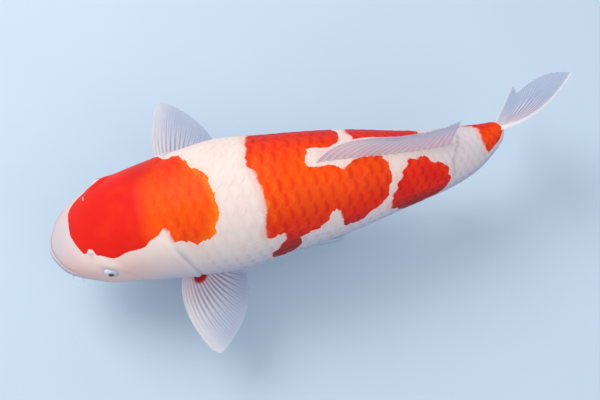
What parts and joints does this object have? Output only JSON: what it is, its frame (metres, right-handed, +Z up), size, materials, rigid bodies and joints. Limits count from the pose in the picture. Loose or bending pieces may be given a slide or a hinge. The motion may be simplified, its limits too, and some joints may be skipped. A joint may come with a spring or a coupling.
{
  "type": "koi carp model",
  "caption": "Life-size still model of a Kohaku koi carp, white with red patches, fins spread and tail sweeping aside, on a plain display stand.",
  "frame": {"origin": "middle of the underside of the stand's base", "axes": "+X towards the fish's tail, +Y to the fish's right side, +Z up; the fish heads towards -X"},
  "size_m": [0.6789, 0.3409, 0.2445],
  "materials": {
    "skin": "wet scaled skin, warm white with vermilion and orange patches",
    "fin_web": "thin milky web over pale pink rays",
    "eye": "clear wet eye, dark pupil, silvery gold iris",
    "barbel": "soft pale feeler",
    "base_lacquer": "satin pale blue-grey lacquer over a flat board",
    "rod_steel": "fine brushed round rod"
  },
  "bodies": {
    "root": {"head": "skin", "jaw": "skin", "gill_cover_left": "skin", "gill_cover_right": "skin", "trunk_front": "skin", "trunk_rear": "skin", "tail_stalk": "skin", "eye_left": "eye", "eye_right": "eye", "barbel_lip_left": "barbel", "barbel_lip_right": "barbel", "barbel_corner_left": "barbel", "barbel_corner_right": "barbel", "fin_pectoral_left": "fin_web", "fin_pectoral_right": "fin_web", "fin_dorsal": "fin_web", "fin_caudal_upper": "fin_web", "fin_caudal_lower": "fin_web", "fin_pelvic_left": "fin_web", "fin_pelvic_right": "fin_web", "fin_anal": "fin_web", "stand_base": "base_lacquer", "stand_rod_front": "rod_steel", "stand_rod_rear": "rod_steel"}
  },
  "joints": []
}
